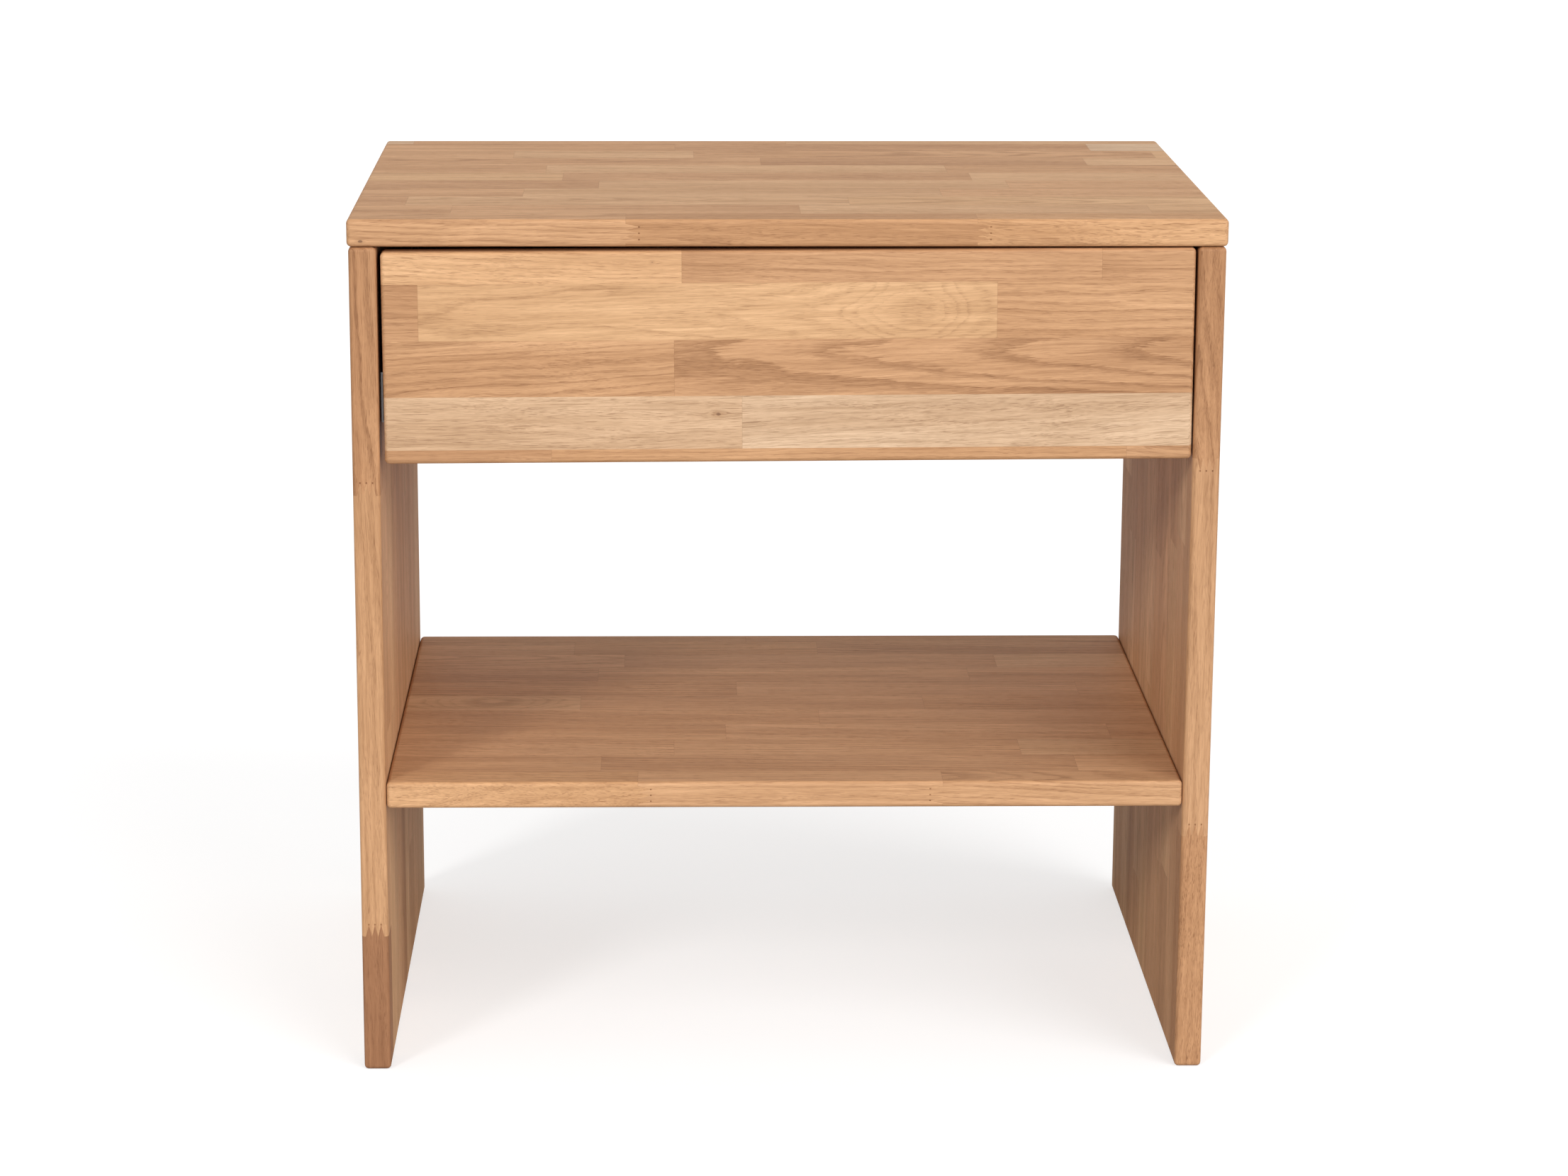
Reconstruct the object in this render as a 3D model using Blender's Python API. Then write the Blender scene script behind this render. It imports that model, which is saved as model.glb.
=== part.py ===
"""A bedside table in solid oak: one drawer over an open shelf, carried by two full-height sides.

Metres, +Z up. The origin is on the floor under the middle of the table and the drawer opens towards -Y.
The boards are glued on dowels, and the drawer runs on two three-part ball-bearing slides.
"""

import math

import bmesh
import bpy
from mathutils import Matrix, Vector

# The cabinet
WIDTH = 0.600
DEPTH = 0.400
HEIGHT = 0.612
BOARD = 0.019
TOP_OVERHANG = 0.001
SHELF_TOP = 0.2135
BACK_RAIL_HEIGHT = 0.148
EASE = 0.003
EASE_STEPS = 2
GAP = 0.0003

# Dowels in the cabinet's joints
DOWEL_RADIUS = 0.004
DOWEL_LENGTH = 0.030
DOWEL_IN_FACE = 0.012
DOWEL_CHAMFER = 0.001
DOWEL_INSET = 0.040
RAIL_DOWEL_INSET = 0.030
ROUND_SIDES = 16

# The drawer's front board, which hangs a little out of level
FRONT_HEIGHT = 0.147
FRONT_SIDE_CLEARANCE = 0.00225
FRONT_TOP_CLEARANCE = 0.00243
FRONT_SHIFT = 0.0008
FRONT_TILT = math.radians(0.33)

# The drawer's box, which the front hides above, below and at both sides
BOX_BOARD = 0.012
FRONT_BELOW_BOX = 0.0144
FRONT_ABOVE_BOX = 0.0276
BOX_BELOW_SLIDE = 0.027
BOX_FINGERS = 5
BOTTOM_THICKNESS = 0.005
BOTTOM_LIFT = 0.010
GROOVE_DEPTH = 0.006

# The ball-bearing slides, which are sold in steps of length
SLIDE_STEP = 0.050
SLIDE_HEIGHT = 0.035
SLIDE_THICKNESS = 0.0124
SLIDE_SETBACK = 0.002
ROOM_BEHIND_SLIDE = 0.005
RAIL_SHEET = 0.0012
RAIL_LIP = 0.0008
LIP_SHEET = 0.0006
RAIL_CLEARANCE = 0.0004
BALL_RADIUS = 0.0014
BALL_CLEARANCE = 0.0003
BALLS_PER_ROW = 5
CAGE_END_ROOM = 0.015
CAGE_SHEET = 0.0005

# Screws
RAIL_SCREW_SETBACK = 0.037
RAIL_SCREW_STEP = 0.032
RAIL_SCREW_RADIUS = 0.00175
RAIL_SCREW_HEAD = 0.0032
CABINET_SCREW_BITE = 0.014
BOX_SCREW_BITE = 0.009
FRONT_SCREW_RADIUS = 0.002
FRONT_SCREW_HEAD = 0.004
FRONT_SCREW_BITE = 0.013
FRONT_SCREW_INSET = 0.070
FRONT_SCREW_EDGE = 0.0275
PAN_HEAD_HEIGHT = 0.0019
HEAD_RECESS = 0.0001

# Places that follow from the sizes above
SIDE_OUTER = WIDTH / 2 - TOP_OVERHANG
SIDE_INNER = SIDE_OUTER - BOARD
TOP_UNDERSIDE = HEIGHT - BOARD
SIDE_TOP = TOP_UNDERSIDE - GAP
BAY_HALF_WIDTH = SIDE_INNER - GAP
FRONT_PLANE = -DEPTH / 2
FRONT_BACK_FACE = FRONT_PLANE + BOARD
SLIDE_FRONT = FRONT_BACK_FACE + SLIDE_SETBACK
SLIDE_ROOM = DEPTH / 2 - BOARD - ROOM_BEHIND_SLIDE - SLIDE_FRONT
SLIDE_LENGTH = SLIDE_STEP * math.floor(SLIDE_ROOM / SLIDE_STEP)
SLIDE_MIDDLE = SLIDE_FRONT + SLIDE_LENGTH / 2
CAGE_LENGTH = SLIDE_LENGTH / 2 - CAGE_END_ROOM
RAIL_SCREW_SPACING = RAIL_SCREW_STEP * math.floor((SLIDE_LENGTH - 2 * RAIL_SCREW_SETBACK) / RAIL_SCREW_STEP)
RAIL_FACE = SIDE_INNER - GAP
FRONT_HIGH = TOP_UNDERSIDE - FRONT_TOP_CLEARANCE
FRONT_LOW = FRONT_HIGH - FRONT_HEIGHT
BOX_OUTER = RAIL_FACE - SLIDE_THICKNESS - GAP
BOX_INNER = BOX_OUTER - BOX_BOARD
BOX_FRONT = FRONT_BACK_FACE + GAP
BOX_DEPTH = SLIDE_LENGTH
BOX_BACK = BOX_FRONT + BOX_DEPTH
BOX_LOW = FRONT_LOW + FRONT_BELOW_BOX
BOX_HEIGHT = FRONT_HEIGHT - FRONT_BELOW_BOX - FRONT_ABOVE_BOX
BOX_MIDDLE_UP = BOX_LOW + BOX_HEIGHT / 2
BOTTOM_UP = BOX_LOW + BOTTOM_LIFT + BOTTOM_THICKNESS / 2
SLIDE_UP = BOX_LOW + BOX_BELOW_SLIDE

# The slide's section, measured from the cabinet's side inwards and from its middle line upwards
BALL_RACE = 2 * (BALL_RADIUS + BALL_CLEARANCE)
OUTER_RACE_FACE = SLIDE_HEIGHT / 2 - RAIL_SHEET
MIDDLE_HALF_HEIGHT = OUTER_RACE_FACE - BALL_RACE
MIDDLE_RACE_FACE = MIDDLE_HALF_HEIGHT - RAIL_SHEET
INNER_HALF_HEIGHT = MIDDLE_RACE_FACE - BALL_RACE
OUTER_CAGE_WEB = RAIL_SHEET + RAIL_CLEARANCE
MIDDLE_WEB = OUTER_CAGE_WEB + CAGE_SHEET + RAIL_CLEARANCE
INNER_CAGE_WEB = MIDDLE_WEB + RAIL_SHEET + RAIL_CLEARANCE
INNER_FLANGE_END = INNER_CAGE_WEB + CAGE_SHEET + RAIL_CLEARANCE
FLANGE_END = SLIDE_THICKNESS - RAIL_SHEET - 1.5 * RAIL_CLEARANCE
BALL_ACROSS = (INNER_FLANGE_END + FLANGE_END) / 2
CAGE_ARM_END = FLANGE_END - LIP_SHEET - 2 * RAIL_CLEARANCE

# Colour, roughness and metallic value of each finish
OAK = ((0.50, 0.29, 0.14), 0.45, 0.0)
BOX_WOOD = ((0.56, 0.38, 0.22), 0.55, 0.0)
PLYWOOD = ((0.55, 0.40, 0.25), 0.60, 0.0)
BEECH = ((0.60, 0.42, 0.26), 0.60, 0.0)
ZINC = ((0.62, 0.63, 0.64), 0.32, 1.0)
BALL_STEEL = ((0.70, 0.70, 0.71), 0.20, 1.0)


def clear_scene():
    for old in list(bpy.data.objects):
        bpy.data.objects.remove(old, do_unlink=True)


def finish_material(name, finish):
    colour, roughness, metallic = finish
    material = bpy.data.materials.new(name + "_finish")
    material.use_nodes = True
    shader = material.node_tree.nodes["Principled BSDF"]
    shader.inputs["Base Color"].default_value = (*colour, 1.0)
    shader.inputs["Roughness"].default_value = roughness
    shader.inputs["Metallic"].default_value = metallic
    return material


def add_object(name, bm, place, parent=None, finish=None):
    """An object made from bm, with its own origin at place in the world."""
    bmesh.ops.recalc_face_normals(bm, faces=bm.faces)
    mesh = bpy.data.meshes.new(name)
    bm.to_mesh(mesh)
    bm.free()
    made = bpy.data.objects.new(name, mesh)
    bpy.context.collection.objects.link(made)
    put(made, place, parent)
    if finish:
        mesh.materials.append(finish_material(name, finish))
    return made


def put(item, place, parent):
    item.parent = parent
    item.location = Vector(place) - (parent.location if parent else Vector())


def add_carrier(name, place):
    """An empty on a slide joint's axis, which carries one moving piece or group."""
    carrier = bpy.data.objects.new(name, None)
    carrier.empty_display_size = 0.05
    bpy.context.collection.objects.link(carrier)
    carrier.location = place
    return carrier


def hide_as_tool(item):
    item.hide_render = True
    item.display_type = "WIRE"


def combine(item, tool, operation):
    hide_as_tool(tool)
    modifier = item.modifiers.new(operation.lower(), "BOOLEAN")
    modifier.operation = operation
    modifier.solver = "EXACT"
    modifier.object = tool


def box_mesh(size):
    bm = bmesh.new()
    bmesh.ops.create_cube(bm, size=1.0)
    bmesh.ops.scale(bm, vec=size, verts=bm.verts)
    return bm


def outline_mesh(outline, thickness, across):
    """A flat outline of (u, v) points, extruded by thickness along the world axis named across."""
    places = {"X": lambda u, v, w: (w, u, v), "Y": lambda u, v, w: (u, w, v)}[across]
    bm = bmesh.new()
    corners = [bm.verts.new(places(u, v, -thickness / 2)) for u, v in outline]
    face = bm.faces.new(corners)
    pushed = bmesh.ops.extrude_face_region(bm, geom=[face])["geom"]
    moved = [v for v in pushed if isinstance(v, bmesh.types.BMVert)]
    bmesh.ops.translate(bm, verts=moved, vec=places(0, 0, thickness))
    return bm


def add_turned(bm, profile, place=(0, 0, 0), axis=(0, 0, 1)):
    """Adds a round solid to bm, from (radius, distance along axis) points. A radius of 0 is a tip."""
    turn = Vector((0, 0, 1)).rotation_difference(Vector(axis)).to_matrix().to_4x4()
    matrix = Matrix.Translation(place) @ turn
    rings = []
    for radius, along in profile:
        count = ROUND_SIDES if radius else 1
        angles = [2 * math.pi * i / ROUND_SIDES for i in range(count)]
        points = [(radius * math.cos(a), radius * math.sin(a), along) for a in angles]
        rings.append([bm.verts.new(matrix @ Vector(p)) for p in points])
    for low, high in zip(rings, rings[1:]):
        join_rings(bm, low, high)
    for ring in (rings[0][::-1], rings[-1]):
        if len(ring) > 1:
            bm.faces.new(ring)


def join_rings(bm, low, high):
    for i in range(ROUND_SIDES):
        j = (i + 1) % ROUND_SIDES
        if len(high) == 1:
            bm.faces.new((low[i], low[j], high[0]))
        else:
            bm.faces.new((low[i], low[j], high[j], high[i]))


def plain_profile(radius, length):
    return [(radius, 0), (radius, length)]


def add_board(name, low, high, parent=None, tilt=0.0):
    """An oak board with eased edges between two opposite corners, low and high."""
    low, high = Vector(low), Vector(high)
    board = add_object(name, box_mesh(high - low), (low + high) / 2, parent, OAK)
    board.rotation_euler.y = -tilt
    bevel = board.modifiers.new("eased_edges", "BEVEL")
    bevel.width = EASE
    bevel.segments = EASE_STEPS
    bevel.limit_method = "ANGLE"
    return board


def add_round_piece(name, profile, place, axis, parent=None, finish=ZINC):
    bm = bmesh.new()
    add_turned(bm, profile, axis=axis)
    piece = add_object(name, bm, place, parent, finish)
    piece.data.shade_smooth()
    piece.data.set_sharp_from_angle(angle=math.radians(35))


def drill(item, holes):
    """Cuts round holes, each given as (profile, place, axis), with one hidden tool."""
    bm = bmesh.new()
    for profile, place, axis in holes:
        add_turned(bm, profile, place, axis)
    combine(item, add_object(item.name + "_holes", bm, (0, 0, 0), item.parent), "DIFFERENCE")


# The cabinet's boards and dowels


def dowel_rows():
    """Every dowel as (joint, name, point where its boards meet, way into the board drilled in its end)."""
    across = DEPTH / 2 - DOWEL_INSET
    shelf_up = SHELF_TOP - BOARD / 2
    rail_back = DEPTH / 2 - BOARD / 2
    rail_up = SIDE_TOP - BACK_RAIL_HEIGHT / 2
    rail_spread = BACK_RAIL_HEIGHT / 2 - RAIL_DOWEL_INSET
    rows = []
    for side, s in (("left", -1), ("right", 1)):
        for word, y in (("front", -across), ("middle", 0.0), ("back", across)):
            rows.append(("top_" + side, word, (s * (SIDE_OUTER - BOARD / 2), y, TOP_UNDERSIDE), (0, 0, -1)))
            rows.append(("shelf_" + side, word, (s * SIDE_INNER, y, shelf_up), (-s, 0, 0)))
        for word, z in (("lower", rail_up - rail_spread), ("upper", rail_up + rail_spread)):
            rows.append(("rail_" + side, word, (s * SIDE_INNER, rail_back, z), (-s, 0, 0)))
    return [(joint, f"{joint}_dowel_{word}", Vector(p), Vector(a)) for joint, word, p, a in rows]


def dowel_holes(*joints):
    """A hole for each dowel of the named joints, with room round it and at both its ends."""
    profile = plain_profile(DOWEL_RADIUS + GAP, DOWEL_LENGTH + 2 * GAP)
    rows = [row for row in dowel_rows() if row[0] in joints]
    return [(profile, p - a * (DOWEL_IN_FACE + GAP), a) for _, _, p, a in rows]


def add_dowels():
    c = DOWEL_CHAMFER
    profile = [
        (DOWEL_RADIUS - c, 0),
        (DOWEL_RADIUS, c),
        (DOWEL_RADIUS, DOWEL_LENGTH - c),
        (DOWEL_RADIUS - c, DOWEL_LENGTH),
    ]
    for _, name, place, axis in dowel_rows():
        add_round_piece(name, profile, place - axis * DOWEL_IN_FACE, axis, finish=BEECH)


def add_top():
    top = add_board(
        "top_panel",
        (-WIDTH / 2, -DEPTH / 2, TOP_UNDERSIDE),
        (WIDTH / 2, DEPTH / 2, HEIGHT),
    )
    drill(top, dowel_holes("top_left", "top_right"))


def add_side(side, s):
    low_x, high_x = sorted((s * SIDE_INNER, s * SIDE_OUTER))
    panel = add_board(
        side + "_side_panel",
        (low_x, -DEPTH / 2, 0.0),
        (high_x, DEPTH / 2, SIDE_TOP),
    )
    joints = [word + side for word in ("top_", "shelf_", "rail_")]
    pilots = [pilot_hole(place, (s, 0, 0), CABINET_SCREW_BITE) for place in rail_screw_places(s * SIDE_INNER)]
    drill(panel, dowel_holes(*joints) + pilots)


def add_shelf():
    shelf = add_board(
        "shelf_panel",
        (-BAY_HALF_WIDTH, -DEPTH / 2, SHELF_TOP - BOARD),
        (BAY_HALF_WIDTH, DEPTH / 2, SHELF_TOP),
    )
    drill(shelf, dowel_holes("shelf_left", "shelf_right"))


def add_back_rail():
    rail = add_board(
        "back_rail",
        (-BAY_HALF_WIDTH, DEPTH / 2 - BOARD, SIDE_TOP - BACK_RAIL_HEIGHT),
        (BAY_HALF_WIDTH, DEPTH / 2, SIDE_TOP),
    )
    drill(rail, dowel_holes("rail_left", "rail_right"))


def add_cabinet():
    add_top()
    add_side("left", -1)
    add_side("right", 1)
    add_shelf()
    add_back_rail()
    add_dowels()


# The drawer


def front_screw_places():
    """Where the front's screws enter the inner face of the box's front board."""
    spread = BOX_INNER - FRONT_SCREW_INSET
    levels = (
        ("lower", BOX_LOW + FRONT_SCREW_EDGE),
        ("upper", BOX_LOW + BOX_HEIGHT - FRONT_SCREW_EDGE),
    )
    return [
        (f"drawer_front_screw_{side}_{level}", Vector((s * spread, BOX_FRONT + BOX_BOARD, up)))
        for side, s in (("left", -1), ("right", 1))
        for level, up in levels
    ]


def front_screw_holes():
    depth = BOX_BOARD + GAP + FRONT_SCREW_BITE + GAP
    profile = [(FRONT_SCREW_RADIUS + GAP, -GAP), (FRONT_SCREW_RADIUS + GAP, depth)]
    return [(profile, place, (0, -1, 0)) for _, place in front_screw_places()]


def add_drawer_front(drawer):
    half = SIDE_INNER - FRONT_SIDE_CLEARANCE
    front = add_board(
        "drawer_front",
        (FRONT_SHIFT - half, FRONT_PLANE, FRONT_LOW),
        (FRONT_SHIFT + half, FRONT_BACK_FACE, FRONT_HIGH),
        drawer,
        FRONT_TILT,
    )
    drill(front, front_screw_holes())


def comb_outline(length, first_finger_stands_out):
    """A box board's outline, with fingers at both ends that mesh with those of the boards at its corners."""
    pitch = BOX_HEIGHT / BOX_FINGERS
    end = []
    for i in range(BOX_FINGERS):
        stands_out = (i % 2 == 0) == first_finger_stands_out
        reach = length / 2 if stands_out else length / 2 - BOX_BOARD - GAP
        slack = GAP / 2 if stands_out else -GAP / 2
        low = i * pitch + (slack if i > 0 else 0)
        high = (i + 1) * pitch - (slack if i < BOX_FINGERS - 1 else 0)
        end += [(reach, low - BOX_HEIGHT / 2), (reach, high - BOX_HEIGHT / 2)]
    return end + [(-u, v) for u, v in reversed(end)]


def add_box_boards(drawer):
    middle_y = (BOX_FRONT + BOX_BACK) / 2
    side_x = BOX_OUTER - BOX_BOARD / 2
    long_side = comb_outline(BOX_DEPTH, True)
    short_side = comb_outline(2 * BOX_OUTER, False)
    boards = {
        "drawer_left_side": (long_side, "X", (-side_x, middle_y)),
        "drawer_right_side": (long_side, "X", (side_x, middle_y)),
        "drawer_box_front": (short_side, "Y", (0, BOX_FRONT + BOX_BOARD / 2)),
        "drawer_box_back": (short_side, "Y", (0, BOX_BACK - BOX_BOARD / 2)),
    }
    made = {}
    for name, (outline, across, (x, y)) in boards.items():
        bm = outline_mesh(outline, BOX_BOARD, across)
        made[name] = add_object(name, bm, (x, y, BOX_MIDDLE_UP), drawer, BOX_WOOD)
    return made


def bottom_size(room):
    """The bottom's size, or with some room added the size of the groove ring that holds it."""
    reach = 2 * (GROOVE_DEPTH - GAP + room)
    inner_depth = BOX_DEPTH - 2 * BOX_BOARD
    return (2 * BOX_INNER + reach, inner_depth + reach, BOTTOM_THICKNESS + 2 * room)


def add_box(drawer):
    boards = add_box_boards(drawer)
    place = (0, (BOX_FRONT + BOX_BACK) / 2, BOTTOM_UP)
    add_object("drawer_bottom", box_mesh(bottom_size(0)), place, drawer, PLYWOOD)
    groove = add_object("bottom_groove", box_mesh(bottom_size(GAP)), place, drawer)
    for board in boards.values():
        combine(board, groove, "DIFFERENCE")
    drill(boards["drawer_box_front"], front_screw_holes())
    for side, s in (("left", -1), ("right", 1)):
        pilots = [pilot_hole(place, (-s, 0, 0), BOX_SCREW_BITE) for place in rail_screw_places(s * BOX_OUTER)]
        drill(boards[f"drawer_{side}_side"], pilots)


def add_front_screws(drawer):
    length = BOX_BOARD + GAP + FRONT_SCREW_BITE
    profile = pan_head_profile(FRONT_SCREW_RADIUS, FRONT_SCREW_HEAD, length)
    for name, place in front_screw_places():
        add_round_piece(name, profile, place, (0, -1, 0), drawer)


# Screws


def pan_head_profile(radius, head_radius, length):
    """A screw that stands on its head's seat, a gap clear of the wood, and points along the profile's axis."""
    return [
        (head_radius * 0.7, -PAN_HEAD_HEIGHT - GAP),
        (head_radius, -PAN_HEAD_HEIGHT * 0.6 - GAP),
        (head_radius, -GAP),
        (radius, -GAP),
        (radius, length - 2 * radius),
        (0, length),
    ]


def countersunk_profile(radius, head_radius, length):
    """A flat-headed screw sunk just below a rail's face. The profile starts at that face."""
    return [
        (head_radius, HEAD_RECESS),
        (radius, RAIL_SHEET),
        (radius, length - 2 * radius),
        (0, length),
    ]


def rail_screw_places(x):
    """Where a rail's front and back screws cross the upright face at x."""
    first = SLIDE_FRONT + RAIL_SCREW_SETBACK
    return [Vector((x, y, SLIDE_UP)) for y in (first, first + RAIL_SCREW_SPACING)]


def pilot_hole(place, axis, bite):
    return [(RAIL_SCREW_RADIUS + GAP, -GAP), (RAIL_SCREW_RADIUS + GAP, bite + GAP)], place, axis


def countersunk_hole():
    """The seat that leaves a gap all round a countersunk screw in a rail's web."""
    head = RAIL_SCREW_HEAD + 2 * GAP
    shank = RAIL_SCREW_RADIUS + 2 * GAP
    return [(head, -GAP), (head, HEAD_RECESS), (shank, RAIL_SHEET), (shank, RAIL_SHEET + GAP)]


def add_rail_screws(rail, profile, face, s, parent):
    for word, place in zip(("front", "back"), rail_screw_places(face)):
        add_round_piece(f"{rail.name}_screw_{word}", profile, place, (s, 0, 0), parent)


# The slides


def channel_outline(web_face, flange_end, half_height, lip):
    """A rolled channel's section. Its lips turn outwards if lip is positive, and inwards if it is negative."""
    s = 1 if flange_end > web_face else -1
    inside = half_height - RAIL_SHEET
    lip_root = flange_end - s * LIP_SHEET
    if lip > 0:
        upper = [
            (web_face, half_height),
            (lip_root, half_height),
            (lip_root, half_height + lip),
            (flange_end, half_height + lip),
            (flange_end, inside),
        ]
    else:
        upper = [
            (web_face, half_height),
            (flange_end, half_height),
            (flange_end, inside + lip),
            (lip_root, inside + lip),
            (lip_root, inside),
        ]
    upper.append((web_face + s * RAIL_SHEET, inside))
    return upper + [(u, -v) for u, v in reversed(upper)]


def cage_outline(web_face, row_height):
    """A ball cage's section: a thin web with an arm along each row of balls."""
    half = CAGE_SHEET / 2
    upper = [
        (web_face, row_height + half),
        (CAGE_ARM_END, row_height + half),
        (CAGE_ARM_END, row_height - half),
        (web_face + CAGE_SHEET, row_height - half),
    ]
    return upper + [(u, -v) for u, v in reversed(upper)]


def slide_place(s):
    """The slide's own origin: the middle of the face that lies against the cabinet's side."""
    return Vector((s * RAIL_FACE, SLIDE_MIDDLE, SLIDE_UP))


def add_section(name, outline, length, s, parent, finish=ZINC):
    inwards = [(-s * u, v) for u, v in outline]
    return add_object(name, outline_mesh(inwards, length, "Y"), slide_place(s), parent, finish)


def add_cage(name, web_face, row_height, s, parent):
    cage = add_section(name, cage_outline(web_face, row_height), CAGE_LENGTH, s, parent, BALL_STEEL)
    balls = bmesh.new()
    pitch = CAGE_LENGTH / BALLS_PER_ROW
    for i in range(BALLS_PER_ROW):
        for height in (-row_height, row_height):
            along = (i + 0.5) * pitch - CAGE_LENGTH / 2
            matrix = Matrix.Translation((-s * BALL_ACROSS, along, height))
            bmesh.ops.create_uvsphere(balls, u_segments=8, v_segments=4, radius=BALL_RADIUS, matrix=matrix)
    combine(cage, add_object(name + "_balls", balls, slide_place(s), parent), "UNION")


def add_outer_rail(side, s):
    name = side + "_slide_outer_rail"
    outline = channel_outline(0, FLANGE_END, SLIDE_HEIGHT / 2, -RAIL_LIP)
    rail = add_section(name, outline, SLIDE_LENGTH, s, None)
    face = s * (RAIL_FACE - RAIL_SHEET)
    drill(rail, [(countersunk_hole(), place, (s, 0, 0)) for place in rail_screw_places(face)])
    length = RAIL_SHEET + GAP + CABINET_SCREW_BITE
    profile = countersunk_profile(RAIL_SCREW_RADIUS, RAIL_SCREW_HEAD, length)
    add_rail_screws(rail, profile, face, s, None)


def add_inner_rail(side, s, drawer):
    name = side + "_slide_inner_rail"
    outline = channel_outline(SLIDE_THICKNESS, INNER_FLANGE_END, INNER_HALF_HEIGHT, RAIL_LIP)
    rail = add_section(name, outline, SLIDE_LENGTH, s, drawer)
    face = s * (BOX_OUTER + GAP + RAIL_SHEET)
    drill(rail, [pilot_hole(place, (-s, 0, 0), RAIL_SHEET) for place in rail_screw_places(face)])
    profile = pan_head_profile(RAIL_SCREW_RADIUS, RAIL_SCREW_HEAD, RAIL_SHEET + GAP + BOX_SCREW_BITE)
    add_rail_screws(rail, profile, face, -s, drawer)


def add_slide(side, s, drawer):
    add_outer_rail(side, s)
    add_inner_rail(side, s, drawer)
    middle = add_carrier(side + "_middle_rail_axis", slide_place(s))
    outline = channel_outline(MIDDLE_WEB, FLANGE_END, MIDDLE_HALF_HEIGHT, RAIL_LIP)
    add_section(side + "_slide_middle_rail", outline, SLIDE_LENGTH, s, middle)
    outer_row = MIDDLE_HALF_HEIGHT + BALL_RACE / 2
    inner_row = INNER_HALF_HEIGHT + BALL_RACE / 2
    for word, web, row in (("outer", OUTER_CAGE_WEB, outer_row), ("inner", INNER_CAGE_WEB, inner_row)):
        carrier = add_carrier(f"{side}_{word}_cage_axis", slide_place(s))
        add_cage(f"{side}_slide_{word}_ball_cage", web, row, s, carrier)


def add_drawer():
    drawer = add_carrier("drawer_axis", (0, BOX_FRONT, SLIDE_UP))
    add_drawer_front(drawer)
    add_box(drawer)
    add_front_screws(drawer)
    add_slide("left", -1, drawer)
    add_slide("right", 1, drawer)


clear_scene()
add_cabinet()
add_drawer()
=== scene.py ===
import math
import random

import bmesh
import bpy
from mathutils import Matrix, Quaternion, Vector


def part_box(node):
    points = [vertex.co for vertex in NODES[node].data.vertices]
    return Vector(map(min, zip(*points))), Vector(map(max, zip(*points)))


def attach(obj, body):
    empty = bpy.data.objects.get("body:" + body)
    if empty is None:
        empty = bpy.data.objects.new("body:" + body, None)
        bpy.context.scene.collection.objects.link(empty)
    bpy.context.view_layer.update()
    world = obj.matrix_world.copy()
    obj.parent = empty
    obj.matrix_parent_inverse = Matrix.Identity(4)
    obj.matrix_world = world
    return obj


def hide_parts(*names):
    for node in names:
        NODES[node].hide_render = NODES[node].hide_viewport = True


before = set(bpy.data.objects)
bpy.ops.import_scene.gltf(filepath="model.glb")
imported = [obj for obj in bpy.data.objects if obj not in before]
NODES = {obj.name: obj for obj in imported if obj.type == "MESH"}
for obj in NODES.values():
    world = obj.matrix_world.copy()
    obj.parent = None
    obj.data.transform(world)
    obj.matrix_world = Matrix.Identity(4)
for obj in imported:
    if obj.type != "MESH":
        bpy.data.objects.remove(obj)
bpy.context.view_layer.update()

# All lengths are in metres. A board has its own directions: along its grain, across it, and out of
# its show face.

X = Vector((1.0, 0.0, 0.0))
Y = Vector((0.0, 1.0, 0.0))
Z = Vector((0.0, 0.0, 1.0))

EASE = 0.003
EASE_STEPS = 4
BROKEN_EDGE = 0.0006
STAVE_WIDTH = 0.0393
FIRST_ROW = 0.0262
RAIL_FIRST_ROW = 0.0300
FINGER_LENGTH = 0.009
FINGERS = 3
FRONT_WIDTH = 0.5555
FRONT_HEIGHT = 0.147
FRONT_TILT = math.radians(0.33)

# A place that no board reaches, for a knot, a joint or a side that a stave doesn't have.
FAR = 9.0
NO_KNOT_SIZE = 0.01

# The average colour of the oiled oak, and how each sort of stave differs from it. The last tone is a light
# stave with painted light added.
OAK = (0.63, 0.36, 0.19)
TONES = {
    "golden": (1.09, 1.12, 1.10),
    "light": (1.06, 1.09, 1.10),
    "pale": (1.06, 1.20, 1.38),
    "palest": (1.11, 1.31, 1.58),
    "tan": (1.01, 0.98, 0.95),
    "amber": (0.96, 0.91, 0.85),
    "brown": (0.92, 0.87, 0.83),
    "russet": (0.84, 0.75, 0.68),
    "dark": (0.62, 0.51, 0.46),
    "honey": (1.05, 1.02, 0.96),
    # Painted light: a light stave's colour, made lighter still to make up for the shade that the top casts
    # on the drawer front's upper row.
    "painted_light": (1.17, 1.19, 1.17),
}

# How a stave was cut from the tree. pith is where the middle of the tree lies from the middle of the
# stave, across it and below its face. taper and bow bend the rings into arches and ovals, slope leans
# the grain across the stave, and ring is the width of a ring. lines and pores are how strongly the
# rings and the long pores show.
CUT_PARTS = ("pith", "taper", "bow", "slope", "ring", "lines", "pores")
CUTS = {
    "straight": ((0.110, -0.070), 0.004, 0.0, 0.006, 0.0032, 0.55, 0.5),
    "striped": ((0.090, -0.050), 0.006, 0.0, 0.045, 0.0044, 1.00, 0.6),
    "slanted": ((0.080, -0.050), 0.010, 0.0, 0.075, 0.0036, 0.40, 0.8),
    "arched": ((0.004, -0.035), 0.050, 0.0, 0.020, 0.0034, 0.80, 0.5),
    "oval": ((0.002, -0.045), 0.0, 0.016, 0.012, 0.0026, 0.75, 0.4),
    "flecked": ((-0.050, -0.090), 0.012, 0.0, 0.055, 0.0050, 0.30, 0.9),
}

# How often each tone and each cut comes up in a row that isn't given.
TONE_SHARES = {"golden": 20, "light": 20, "pale": 7, "tan": 24, "amber": 13, "brown": 13, "russet": 3}
CUT_SHARES = {"straight": 30, "striped": 18, "slanted": 18, "arched": 16, "oval": 4, "flecked": 14}

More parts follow.
